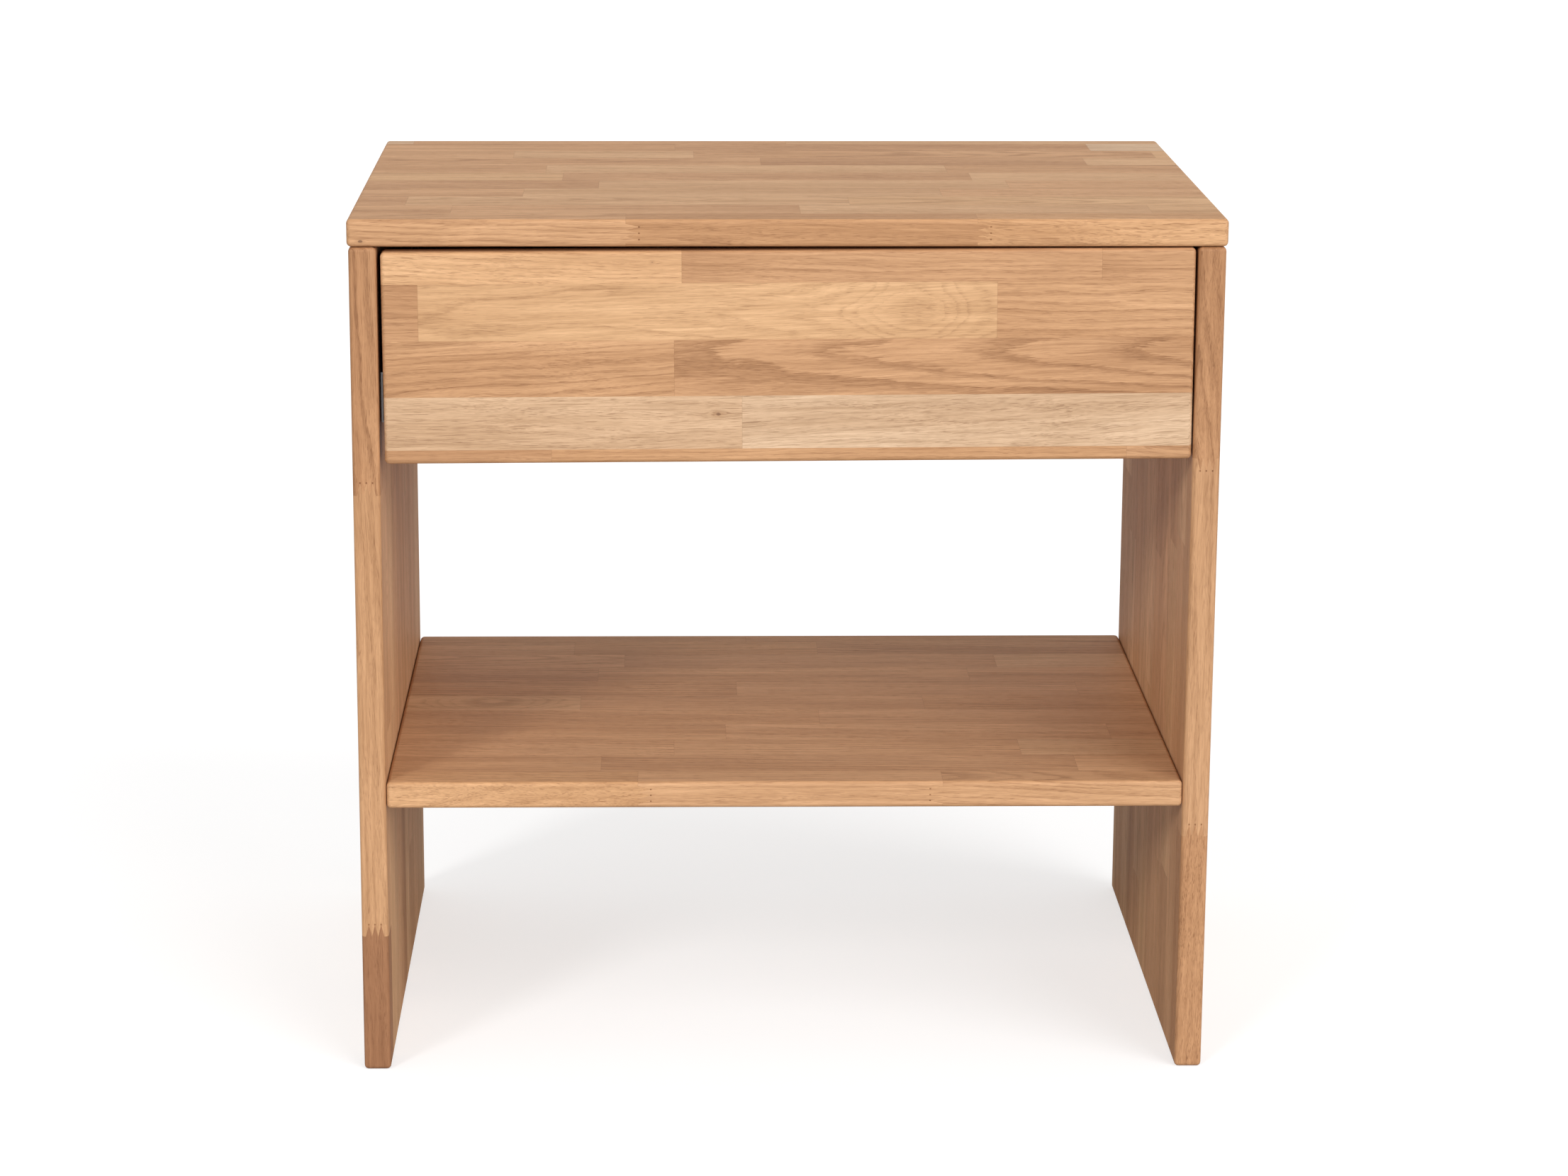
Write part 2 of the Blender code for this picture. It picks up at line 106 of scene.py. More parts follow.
# What the parts of the pattern do to the colour of oak.
DRIFT_TINTS = ((0.90, 0.87, 0.83, 1.0), (1.09, 1.12, 1.14, 1.0))
STREAK_TINTS = ((0.82, 0.78, 0.73, 1.0), (1.15, 1.18, 1.21, 1.0))
RING_TINT = (0.60, 0.52, 0.44, 1.0)
PORE_TINT = (0.47, 0.38, 0.31, 1.0)
END_TINT = (0.66, 0.58, 0.50, 1.0)
WORN_TINT = (1.10, 1.08, 1.05, 1.0)
GLUE_TINT = (0.50, 0.40, 0.32, 1.0)
HALO_COLOUR = (0.40, 0.20, 0.09, 1.0)
HEART_COLOUR = (0.19, 0.09, 0.045, 1.0)
OAK_IOR = 1.45

# OVAL_REACH is how far from its middle an oval's rings have moved half of their way. A length along the
# grain counts for less round a knot, which makes the knot longer that way.
OVAL_REACH = 0.050
KNOT_STRETCH = (0.55, 1.0, 1.0)

BOX_OAK = (0.64, 0.42, 0.25)
VENEER = (0.66, 0.44, 0.265)
CROSSED_PLY_TINT = (0.62, 0.52, 0.43, 1.0)
WHITE = (1.0, 1.0, 1.0, 1.0)


# ---------------------------------------------------------------- node trees


def feed(tree, socket, value):
    """Links value to the socket if it is a socket, and sets it if it is a number."""
    if isinstance(value, bpy.types.NodeSocket):
        tree.links.new(value, socket)
    else:
        socket.default_value = value


def calc(tree, operation, *values, clamp=False):
    """A sum on numbers."""
    node = tree.nodes.new("ShaderNodeMath")
    node.operation = operation
    node.use_clamp = clamp
    for socket, value in zip(node.inputs, values):
        feed(tree, socket, value)
    return node.outputs[0]


def plus(tree, base, value, amount):
    """base plus value times amount."""
    return calc(tree, "ADD", base, calc(tree, "MULTIPLY", value, amount))


def vector_calc(tree, operation, *values):
    """A sum on vectors. A length is a number, and the rest are vectors."""
    node = tree.nodes.new("ShaderNodeVectorMath")
    node.operation = operation
    for socket, value in zip(node.inputs, values):
        feed(tree, socket, value)
    return node.outputs["Value" if operation == "LENGTH" else "Vector"]


def split(tree, value):
    """The three numbers of a vector."""
    node = tree.nodes.new("ShaderNodeSeparateXYZ")
    feed(tree, node.inputs[0], value)
    return node.outputs


def join(tree, *values):
    """A vector of three numbers."""
    node = tree.nodes.new("ShaderNodeCombineXYZ")
    for socket, value in zip(node.inputs, values):
        feed(tree, socket, value)
    return node.outputs[0]


def read(tree, name, part="Vector"):
    """A value that the mesh carries by that name."""
    node = tree.nodes.new("ShaderNodeAttribute")
    node.attribute_name = name
    return node.outputs[part]


def object_place(tree):
    """The place in the object's own frame, which for a CAD node is the CAD's frame."""
    return tree.nodes.new("ShaderNodeTexCoord").outputs["Object"]


def noise(tree, at, stretch, detail=0.0, roughness=0.5, part="Fac"):
    """Noise with about stretch swings in a metre, each way."""
    node = tree.nodes.new("ShaderNodeTexNoise")
    node.inputs["Scale"].default_value = 1.0
    node.inputs["Detail"].default_value = detail
    node.inputs["Roughness"].default_value = roughness
    feed(tree, node.inputs["Vector"], vector_calc(tree, "MULTIPLY", at, stretch))
    return node.outputs[part]


def wander(tree, at, stretch, reach):
    """A smooth push across the board and out of it, by up to half of reach either way."""
    push = noise(tree, at, stretch, 1.0, part="Color")
    push = vector_calc(tree, "SUBTRACT", push, (0.5, 0.5, 0.5))
    return vector_calc(tree, "MULTIPLY", push, (0.0, reach, reach))


def ramp(tree, value, low, high, start, end, smooth=True):
    """value taken from low and high to start and end, and held there outside them."""
    node = tree.nodes.new("ShaderNodeMapRange")
    node.interpolation_type = "SMOOTHSTEP" if smooth else "LINEAR"
    feed(tree, node.inputs[0], value)
    for socket, number in zip(node.inputs[1:5], (low, high, start, end)):
        feed(tree, socket, number)
    return node.outputs[0]


def near(tree, value, first, second, width):
    """1 where value is within half of width of the first or second place, and 0 beyond width."""
    gaps = [calc(tree, "ABSOLUTE", calc(tree, "SUBTRACT", value, place)) for place in (first, second)]
    return ramp(tree, calc(tree, "MINIMUM", *gaps), width * 0.5, width, 1.0, 0.0)


def blend(tree, amount, first, second, way="MIX"):
    """first and second colour mixed by amount."""
    node = tree.nodes.new("ShaderNodeMix")
    node.data_type = "RGBA"
    node.blend_type = way
    feed(tree, node.inputs[0], amount)
    feed(tree, node.inputs[6], first)
    feed(tree, node.inputs[7], second)
    return node.outputs[2]


def times(tree, colour, tint):
    """colour times tint."""
    return blend(tree, 1.0, colour, tint, "MULTIPLY")


def tinted(tree, colour, amount, tint):
    """colour, taken by amount towards colour times tint."""
    return blend(tree, amount, colour, times(tree, colour, tint))


def new_material(name):
    """A new material, its tree and its shader."""
    made = bpy.data.materials.new(name)
    made.use_nodes = True
    return made, made.node_tree, made.node_tree.nodes["Principled BSDF"]


def raise_surface(tree, shader, height, depth, strength):
    """Bumps the shader's surface by height times depth in metres."""
    node = tree.nodes.new("ShaderNodeBump")
    node.inputs["Strength"].default_value = strength
    node.inputs["Distance"].default_value = depth
    feed(tree, node.inputs["Height"], height)
    tree.links.new(node.outputs[0], shader.inputs["Normal"])


# ---------------------------------------------------------------- oak


def knot_field(tree, at, shifted, stave_cut):
    """How many knot sizes a place is from the knot, and how far the knot pushes the grain aside."""
    size = stave_cut["knot_size"]
    off = vector_calc(tree, "MULTIPLY", vector_calc(tree, "SUBTRACT", at, stave_cut["knot"]), KNOT_STRETCH)
    away = calc(tree, "DIVIDE", vector_calc(tree, "LENGTH", off), size)
    pull = ramp(tree, away, 0.6, 5.0, 1.0, 0.0)
    beside = calc(tree, "DIVIDE", split(tree, off)[1], size)
    side = ramp(tree, beside, -1.0, 1.0, 1.0, -1.0)
    push = calc(tree, "MULTIPLY", calc(tree, "MULTIPLY", pull, side), calc(tree, "MULTIPLY", size, 1.3))
    ragged = noise(tree, shifted, (260.0, 420.0, 420.0), 1.0)
    return plus(tree, away, calc(tree, "SUBTRACT", ragged, 0.5), 1.2), push


def ring_count(tree, along, grain, on_grain, stave_cut):
    """How many rings out from the pith a place is, with the rings bent into arches and ovals."""
    pith_across, pith_deep, ring_rate = split(tree, stave_cut["pith"])
    taper, bow, bow_middle = split(tree, stave_cut["run"])
    _, across, deep = split(tree, grain)
    from_pith = join(
        tree,
        0.0,
        calc(tree, "SUBTRACT", across, pith_across),
        calc(tree, "SUBTRACT", deep, pith_deep),
    )
    from_middle = calc(tree, "SUBTRACT", along, bow_middle)
    square = calc(tree, "MULTIPLY", from_middle, from_middle)
    opened = calc(tree, "DIVIDE", square, calc(tree, "ADD", square, OVAL_REACH**2))
    radius = plus(tree, vector_calc(tree, "LENGTH", from_pith), taper, along)
    radius = plus(tree, radius, opened, bow)
    count = calc(tree, "MULTIPLY", radius, ring_rate)
    uneven = noise(tree, join(tree, 0.0, count, 0.0), (0.0, 0.45, 0.0), 1.0)
    ragged = noise(tree, on_grain, (70.0, 1300.0, 1300.0), 1.0, 0.6)
    return plus(tree, plus(tree, count, uneven, 2.2), ragged, 0.55)


def ring_shade(tree, count, lines):
    """How dark the rings are at a place, and how far it is in its ring's early wood."""
    phase = calc(tree, "FRACT", count)
    white = tree.nodes.new("ShaderNodeTexWhiteNoise")
    white.noise_dimensions = "1D"
    feed(tree, white.inputs["W"], calc(tree, "FLOOR", count))
    weight = ramp(tree, white.outputs["Value"], 0.0, 1.0, 0.25, 1.0, smooth=False)
    early = ramp(tree, phase, 0.0, 0.50, 1.0, 0.0)
    rising = ramp(tree, phase, 0.92, 1.0, 0.0, 1.0)
    dark = calc(tree, "MULTIPLY", calc(tree, "MAXIMUM", early, rising), weight)
    return calc(tree, "MULTIPLY", dark, lines), early


def pore_shade(tree, on_grain, early, pores):
    """Short fine dashes along the grain, closer together in early wood, and a few long ones."""
    short = noise(tree, on_grain, (120.0, 3400.0, 3400.0))
    long = noise(tree, on_grain, (27.0, 2100.0, 2100.0))
    pore = calc(tree, "MULTIPLY", ramp(tree, short, 0.56, 0.68, 0.0, 1.0), plus(tree, 0.45, early, 0.55))
    pore = calc(tree, "MULTIPLY", pore, plus(tree, 0.5, pores, 0.5))
    dash = calc(tree, "MULTIPLY", ramp(tree, long, 0.69, 0.75, 0.0, 1.0), pores)
    return calc(tree, "MAXIMUM", pore, dash, clamp=True)


def oak_pattern(tree, at, stave_cut):
    """The grain of oak at a place in a board: how dark its rings, pores, streaks and knots are."""
    along, _, _ = split(tree, at)
    slope, lines, pores = split(tree, stave_cut["marks"])
    shifted = vector_calc(tree, "ADD", at, stave_cut["shift"])
    from_knot, push = knot_field(tree, at, shifted, stave_cut)

    lean = plus(tree, push, slope, along)
    grain = vector_calc(tree, "ADD", at, join(tree, 0.0, lean, 0.0))
    grain = vector_calc(tree, "ADD", grain, wander(tree, shifted, (2.3, 13.0, 13.0), 0.018))
    grain = vector_calc(tree, "ADD", grain, wander(tree, shifted, (12.0, 70.0, 70.0), 0.0045))
    on_grain = vector_calc(tree, "ADD", grain, stave_cut["shift"])

    ring, early = ring_shade(tree, ring_count(tree, along, grain, on_grain, stave_cut), lines)
    return dict(
        ring=ring,
        pore=pore_shade(tree, on_grain, early, pores),
        streak=noise(tree, on_grain, (11.0, 420.0, 420.0), 3.0, 0.72),
        drift=noise(tree, on_grain, (3.2, 38.0, 38.0), 1.0),
        heart=ramp(tree, from_knot, 0.5, 1.1, 1.0, 0.0),
        halo=ramp(tree, from_knot, 0.8, 3.0, 1.0, 0.0),
        rubbed=noise(tree, on_grain, (35.0, 120.0, 120.0), 2.0),
    )


def oak_surface(tree, shader, base, tone, pattern, gap=0.0, edge=0.0, end=0.0):
    """Colours and roughens oak from its pattern. gap is a glue line, edge a worn edge, end end grain."""
    shade = ramp(tree, pattern["drift"], 0.25, 0.75, 0.0, 1.0)
    thread = ramp(tree, pattern["streak"], 0.28, 0.72, 0.0, 1.0, smooth=False)
    worn = calc(tree, "MULTIPLY", edge, ramp(tree, pattern["rubbed"], 0.35, 0.65, 0.1, 0.55))

    colour = times(tree, (*base, 1.0), tone)
    colour = times(tree, colour, blend(tree, shade, *DRIFT_TINTS))
    colour = times(tree, colour, blend(tree, thread, *STREAK_TINTS))
    colour = tinted(tree, colour, calc(tree, "MULTIPLY", pattern["ring"], 0.70), RING_TINT)
    colour = tinted(tree, colour, calc(tree, "MULTIPLY", pattern["pore"], 0.66), PORE_TINT)
    colour = blend(tree, calc(tree, "MULTIPLY", pattern["halo"], 0.35), colour, HALO_COLOUR)
    colour = blend(tree, calc(tree, "MULTIPLY", pattern["heart"], 0.80), colour, HEART_COLOUR)
    colour = tinted(tree, colour, calc(tree, "MULTIPLY", end, 0.55), END_TINT)
    colour = tinted(tree, colour, worn, WORN_TINT)
    colour = tinted(tree, colour, gap, GLUE_TINT)
    feed(tree, shader.inputs["Base Color"], colour)

    rough = plus(tree, 0.50, pattern["streak"], 0.14)
    rough = plus(tree, rough, pattern["pore"], 0.18)
    rough = plus(tree, rough, worn, -0.10)
    feed(tree, shader.inputs["Roughness"], plus(tree, rough, end, 0.12))

    height = calc(tree, "MULTIPLY", pattern["streak"], 0.35)
    height = plus(tree, height, pattern["pore"], -0.7)
    raise_surface(tree, shader, plus(tree, height, gap, -0.6), 0.00012, 0.55)


def stave_oak():
    """Oak that takes each stave's cut and colour from the faces of a laminated board."""
    made, tree, shader = new_material("oiled_oak_staves")
    at = object_place(tree)
    stave_cut = {name: read(tree, "stave_" + name) for name in ("shift", "pith", "run", "marks", "knot")}
    stave_cut["knot_size"] = read(tree, "stave_knot", "Alpha")
    pattern = oak_pattern(tree, at, stave_cut)

    along, across, deep = split(tree, at)
    start, finish, show_ends = split(tree, read(tree, "stave_ends"))
    low, high, _ = split(tree, read(tree, "stave_sides"))
    first_tip, last_tip, pitch = split(tree, read(tree, "stave_tips"))
    butt = calc(tree, "MULTIPLY", near(tree, along, start, finish, 0.00026), show_ends)
    seam = near(tree, across, low, high, 0.00020)

    # The small dark hole that is left at the tip of each finger.
    rise = calc(tree, "DIVIDE", deep, pitch)
    rise = calc(tree, "SUBTRACT", rise, calc(tree, "ROUND", rise))
    rise = calc(tree, "ABSOLUTE", calc(tree, "MULTIPLY", rise, pitch))
    at_tip = near(tree, along, first_tip, last_tip, 0.0008)
    tip = calc(tree, "MULTIPLY", at_tip, ramp(tree, rise, 0.0003, 0.0007, 1.0, 0.0))

    joint = calc(tree, "MAXIMUM", calc(tree, "MULTIPLY", butt, 0.26), calc(tree, "MULTIPLY", seam, 0.14))
    gap = calc(tree, "MAXIMUM", joint, tip)
    tone = read(tree, "stave_tone", "Color")
    oak_surface(tree, shader, OAK, tone, pattern, gap, read(tree, "worn", "Fac"), read(tree, "end", "Fac"))
    shader.inputs["IOR"].default_value = OAK_IOR
    return made


# ---------------------------------------------------------------- staves and rows


def stave(tone, cut_name, knot=None, **changes):
    """One stave of a board: its colour, its cut, and a knot's place and size if it has one."""
    made = dict(zip(CUT_PARTS, CUTS[cut_name]), tone=TONES[tone], knot=knot, middle=0.5)
    made.update(changes)
    return made


def row(width, *parts):
    """A row of staves and, between them, how far along the board each joint is."""
    staves = [stave(*part.split()) if isinstance(part, str) else part for part in parts[::2]]
    return dict(width=width, ends=list(parts[1::2]), staves=staves)


def some_stave(chance):
    """A stave as it comes from the stack."""
    tone = chance.choices(list(TONE_SHARES), list(TONE_SHARES.values()))[0]
    made = stave(tone, chance.choices(list(CUT_SHARES), list(CUT_SHARES.values()))[0])
    made["taper"] *= chance.choice((-1, 1)) * chance.uniform(0.7, 1.3)
    made["slope"] *= chance.choice((-1, 1)) * chance.uniform(0.5, 1.4)
    made["ring"] *= chance.uniform(0.8, 1.3)
    made["lines"] *= chance.uniform(0.6, 1.1)
    side, deep = made["pith"]
    made["pith"] = (side * chance.choice((-1, 1)), deep * chance.uniform(0.7, 1.4))
    return made


def some_row(length, width, chance):
    """A row of staves of mixed lengths."""
    ends = []
    place = chance.uniform(0.05, 0.40)
    while place < length - 0.06:
        ends.append(place)
        place += chance.uniform(0.20, 0.46)
    return dict(width=width, ends=ends, staves=[some_stave(chance) for _ in range(len(ends) + 1)])


def some_rows(length, across, first, seed):
    """Rows that fill a board, the first of them cut to its own width."""
    chance = random.Random(seed)
    rows = [some_row(length, first, chance)]
    left = across - first
    while left > STAVE_WIDTH * 1.2:
        rows.append(some_row(length, STAVE_WIDTH, chance))
        left -= STAVE_WIDTH
    rows.append(some_row(length, left, chance))
    return rows


def full_rows(first, *others):
    """The given rows, the first of them narrower and the last as wide as the board leaves it."""
    widths = [STAVE_WIDTH] * (len(others) - 1) + [0.0]
    return [row(FIRST_ROW, *first), *(row(width, *parts) for width, parts in zip(widths, others))]


def top_rows():
    """The top's staves, from its front edge to its back edge."""
    return full_rows(
        (
            stave("tan", "arched", knot=(0.0095, 0.0, 0.0040, 0.0009)),
            0.1896,
            "amber straight",
            0.4288,
            "honey flecked",
        ),
        ("tan straight", 0.0692, "tan striped", 0.3092, "light slanted", 0.5512, "golden straight"),
        ("brown straight", 0.0360, "light arched", 0.3448, "golden arched"),
        ("tan straight", 0.1160, "light straight", 0.4120, "tan flecked"),
        ("brown striped", 0.1688, "light straight", 0.4628, "tan slanted"),
        ("golden straight", 0.1420, "brown flecked", 0.4392, "light straight"),
        ("tan straight", 0.1288, "light slanted", 0.4240, "tan striped"),
        ("tan arched", 0.2880, "brown straight", 0.5312, "light straight"),
        ("tan straight", 0.1020, "light striped", 0.2380, "tan arched", 0.5872, "golden straight"),
        ("tan straight", 0.2240, "brown slanted", 0.5420, "palest straight"),
        ("pale straight", 0.0220, "tan straight", 0.3100, "light straight"),
    )


def shelf_rows():
    """The shelf's staves, from its front edge to its back edge."""
    return full_rows(
        ("honey slanted", 0.1764, "tan straight", 0.3908, "tan arched"),
        ("tan straight", 0.1500, "brown striped", 0.4888, "tan straight"),
        ("tan slanted", 0.2020, "tan striped", 0.4520, "light straight"),
        ("amber straight", 0.2400, "tan flecked", 0.5212, "brown straight"),
        ("amber slanted", 0.3100, "tan straight"),
        ("golden oval", 0.1320, "tan straight", 0.3900, "amber slanted"),
        ("amber striped", 0.2500, "tan straight", 0.5100, "tan striped"),
        ("brown striped", 0.1440, "tan straight", 0.4300, "tan straight"),
        ("tan arched", 0.1640, "brown straight", 0.4540, "light straight"),
        ("tan straight", 0.1240, "amber straight", 0.3160, "brown striped"),
        ("tan straight", 0.2600, "brown straight"),
    )


def drawer_rows():
    """The drawer front's staves, from its lower edge to its upper edge."""
    return [
        row(0.0097, "brown straight", 0.1147, "amber straight", 0.5105, "brown slanted"),
        row(
            0.0370,
            stave("pale", "flecked", slope=-0.015, knot=(0.2295, 0.0340, 0.0185, 0.0012)),
            0.2458,
            stave("palest", "flecked", slope=-0.060),
        ),
        row(
            0.0390,
            stave("tan", "striped", slope=-0.045),
            0.1994,
            stave("brown", "arched", taper=-0.036, slope=-0.022, lines=1.3, ring=0.0046),
        ),
        row(
            0.0393,
            "brown straight",
            0.0249,
            stave("golden", "oval", middle=0.86, slope=-0.020, lines=0.52),
            0.4202,
            stave("tan", "striped", slope=0.012),
        ),
        row(
            0.0221,
            # This stave's tone is painted light: lighter than its own colour, to make up for the shade that
            # the top casts on this row.
            stave("painted_light", "slanted", slope=0.030, knot=(0.1850, 0.1395, 0.0185, 0.0007)),
            0.2049,
            "brown straight",
            0.4915,
            "brown straight",
        ),
    ]


def side_rows(seed, length, across, *front):
    """A side's staves, from its front edge to its back edge. Only the front row is given."""
    rows = some_rows(length, across, FIRST_ROW, seed)
    rows[0] = row(FIRST_ROW, *front)
    return rows


# ---------------------------------------------------------------- laminated boards


def eased_box(size):
    """A box about the origin with its edges rounded."""
    shape = bmesh.new()
    bmesh.ops.create_cube(shape, size=1.0, matrix=Matrix.Diagonal((*size, 1.0)))
    bmesh.ops.bevel(
        shape,
        geom=shape.edges[:],
        offset=EASE,
        offset_type="OFFSET",
        segments=EASE_STEPS,
        profile=0.5,
        affect="EDGES",
    )
    return shape


def cut(shape, faces, place, across):
    """Cuts the faces along the plane through place, square to across, and keeps both sides."""
    edges = dict.fromkeys(edge for face in faces for edge in face.edges)
    corners = dict.fromkeys(corner for face in faces for corner in face.verts)
    bmesh.ops.bisect_plane(
        shape,
        geom=[*faces, *edges, *corners],
        dist=1e-6,
        plane_co=place,
        plane_no=across,
    )


def outward(place, size):
    """The direction out of an eased box at a place on its surface."""
    core = [max(-whole / 2 + EASE, min(whole / 2 - EASE, value)) for value, whole in zip(place, size)]
    out = place - Vector(core)
    return out.normalized() if out.length > 1e-7 else Vector((0.0, 0.0, 1.0))


def finger_joint(shape, size, place, side, way):
    """Turns the straight joint at place on a narrow face into fingers that point along way."""
    flat = size[2] - 2 * EASE
    for edge in list(shape.edges):
        ends = [corner.co for corner in edge.verts]
        on_joint = all(abs(end.x - place) < 1e-5 and abs(end.y - side * size[1] / 2) < 1e-5 for end in ends)
        if on_joint and abs(abs(ends[0].z - ends[1].z) - flat) < 1e-4:
            made = bmesh.ops.subdivide_edges(shape, edges=[edge], cuts=2 * FINGERS - 1)
            corners = {item for item in made["geom_inner"] if isinstance(item, bmesh.types.BMVert)}
            for corner in sorted(corners, key=lambda corner: corner.co.z)[::2]:
                corner.co.x += way * FINGER_LENGTH
            return


def sort_faces(shape):
    """Puts the faces in the order of their places, because cuts leave them in no fixed order."""
    ordered = sorted(shape.faces, key=lambda face: [round(value, 6) for value in face.calc_center_median()])
    places = {face: place for place, face in enumerate(ordered)}
    shape.faces.sort(key=places.get)


def row_bounds(rows, across):
    """The low and high side of each row, across the board."""
    low = -across / 2
    bounds = []
    for item in rows[:-1]:
        bounds.append((low, low + item["width"]))
        low += item["width"]
    bounds.append((low, across / 2))
    return bounds


def laminate(shape, size, rows, bounds):
    """Cuts a board's faces along its rows, and then each row's faces at its joints."""
    for low, _ in bounds[1:]:
        cut(shape, shape.faces[:], (0.0, low, 0.0), (0.0, 1.0, 0.0))
    for item, (low, high) in zip(rows, bounds):
        for end in item["ends"]:
            inside = [face for face in shape.faces if low - 1e-4 < face.calc_center_median().y < high + 1e-4]
            cut(shape, inside, (end - size[0] / 2, 0.0, 0.0), (1.0, 0.0, 0.0))


def finger_ways(size, rows, front_ways, chance):
    """The joints on each narrow face, -1 and 1, each with the way that its fingers point."""
    joints = {}
    for side, item in ((-1, rows[0]), (1, rows[-1])):
        joints[side] = [(end - size[0] / 2, chance.choice((-1, 1))) for end in item["ends"]]
    if front_ways:
        joints[-1] = [(end, way) for (end, _), way in zip(joints[-1], front_ways)]
    return joints


def knot_place(knot, size):
    """A knot's place from the board's middle, and its size. It is given from the board's lowest corner."""
    if knot is None:
        return FAR, FAR, FAR, NO_KNOT_SIZE
    return (*(value - whole / 2 for value, whole in zip(knot, size)), knot[3])


def stave_values(face, mesh, size, rows, bounds, joints):
    """The row and stave that a face lies on, and the values that its material reads there."""
    number = next((i for i, (_, high) in enumerate(bounds) if face.center.y < high), len(bounds) - 1)
    low, high = bounds[number]
    narrow = abs(face.normal.y) > 0.99
    reach = [mesh.vertices[corner].co.x for corner in face.vertices]
    inner = (min(reach) + max(reach)) / 2 if narrow else face.center.x
    ends = [-FAR, *(end - size[0] / 2 for end in rows[number]["ends"]), FAR]
    index = next(i for i in range(len(ends) - 1) if inner < ends[i + 1])
    item = rows[number]["staves"][index]

    side_pith, deep_pith = item["pith"]
    start = max(ends[index], -size[0] / 2)
    finish = min(ends[index + 1], size[0] / 2)
    fingers = joints[1 if face.normal.y > 0 else -1] if narrow else []
    tips = [end + way * FINGER_LENGTH for end, way in fingers]
    before = max((tip for tip in tips if tip < inner), default=-FAR)
    after = min((tip for tip in tips if tip >= inner), default=FAR)
    values = dict(
        pith=((low + high) / 2 + side_pith, size[2] / 2 + deep_pith, 1.0 / item["ring"]),
        run=(item["taper"], item["bow"], start + (finish - start) * item["middle"]),
        marks=(item["slope"], item["lines"], item["pores"]),
        knot=knot_place(item["knot"], size),
        tone=(*item["tone"], 1.0),
        ends=(ends[index], ends[index + 1], 0.0 if narrow else 1.0),
        sides=(low if number else -FAR, high if number < len(rows) - 1 else FAR, 0.0),
        tips=(before, after, (size[2] - 2 * EASE) / FINGERS),
    )
    return (number, index), values


def write_staves(mesh, size, rows, bounds, joints, chance):
    """Gives each face the cut, the colour and the edges of the stave that it lies on."""
    places = [(number, index) for number, item in enumerate(rows) for index in range(len(item["staves"]))]
    shifts = {place: [chance.uniform(-40, 40) for _ in range(3)] for place in places}
    table = []
    for face in mesh.polygons:
        place, values = stave_values(face, mesh, size, rows, bounds, joints)
        table.append(dict(shift=shifts[place], **values))
    for name in table[0]:
        four = name in ("tone", "knot")
        layer = mesh.attributes.new("stave_" + name, "FLOAT_COLOR" if four else "FLOAT_VECTOR", "FACE")
        numbers = [number for values in table for number in values[name]]
        layer.data.foreach_set("color" if four else "vector", numbers)


def write_edges(mesh, size):
    """Rounds the shading of a board's edges, and marks where they wear and where end grain shows."""
    normals = [outward(corner.co, size) for corner in mesh.vertices]
    worn = mesh.attributes.new("worn", "FLOAT", "POINT")
    aslant = [1.0 - max(abs(part) for part in normal) for normal in normals]
    worn.data.foreach_set("value", [min(1.0, amount / 0.29) for amount in aslant])
    end = mesh.attributes.new("end", "FLOAT", "POINT")
    end.data.foreach_set("value", [normal.x**2 for normal in normals])
    mesh.polygons.foreach_set("use_smooth", [True] * len(mesh.polygons))
    mesh.normals_split_custom_set_from_vertices(normals)


def stave_board(name, size, rows, place, oak, seed, front_ways=None):
    """A laminated board. place takes its own directions to where it stands."""
    chance = random.Random(seed)
    shape = eased_box(size)
    bounds = row_bounds(rows, size[1])
    laminate(shape, size, rows, bounds)
    joints = finger_ways(size, rows, front_ways, chance)
    for side, ends in joints.items():
        for end, way in ends:
            finger_joint(shape, size, end, side, way)
    sort_faces(shape)
    mesh = bpy.data.meshes.new(name)
    shape.to_mesh(mesh)
    shape.free()
    write_staves(mesh, size, rows, bounds, joints, chance)
    write_edges(mesh, size)
    mesh.materials.append(oak)
    made = bpy.data.objects.new(name, mesh)
    bpy.context.scene.collection.objects.link(made)
    made.matrix_world = place
    return made


def placing(along, across, middle):
    """The placing of a board whose middle is there, with its grain and its width along these axes."""
    turn = Matrix((along, across, along.cross(across))).transposed().to_4x4()
    return Matrix.Translation(middle) @ turn


def middle_and_size(node):
    """The middle and the size of a CAD node."""
    low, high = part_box(node)
    return (low + high) / 2, high - low


def show(board, body, *nodes):
    """Puts a finished board on its body in place of its nodes."""
    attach(board, body)
    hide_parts(*nodes)


def add_level_board(name, rows, oak, seed, front_ways):
    """The top or the shelf, whose grain runs across the cabinet."""
    node = name + "_panel"
    middle, size = middle_and_size(node)
    board = stave_board("oak_" + name, size, rows, placing(X, Y, middle), oak, seed, front_ways)
    show(board, "cabinet", node)


def add_side(name, oak, seed, front_ways, *front):
    """A side, whose grain runs upwards."""
    node = name + "_side_panel"
    middle, size = middle_and_size(node)
    rows = side_rows(seed, size.z, size.y, *front)
    lying = (size.z, size.y, size.x)
    board = stave_board("oak_" + name + "_side", lying, rows, placing(Z, Y, middle), oak, seed, front_ways)
    show(board, "cabinet", node)


def add_back_rail(oak, seed):
    """The rail behind the drawer."""
    middle, size = middle_and_size("back_rail")
    rows = some_rows(size.x, size.z, RAIL_FIRST_ROW, seed)
    board = stave_board("oak_back_rail", (size.x, size.z, size.y), rows, placing(X, Z, middle), oak, seed)
    show(board, "cabinet", "back_rail")


def add_drawer_front(oak, seed):
    """The drawer front, which hangs a little out of level."""
    middle, size = middle_and_size("drawer_front")
    tilt = Matrix.Rotation(-FRONT_TILT, 4, "Y")
    place = Matrix.Translation(middle) @ tilt @ placing(X, Z, Vector())
    lying = (FRONT_WIDTH, FRONT_HEIGHT, size.y)
    board = stave_board("oak_drawer_front", lying, drawer_rows(), place, oak, seed)
    show(board, "drawer", "drawer_front")


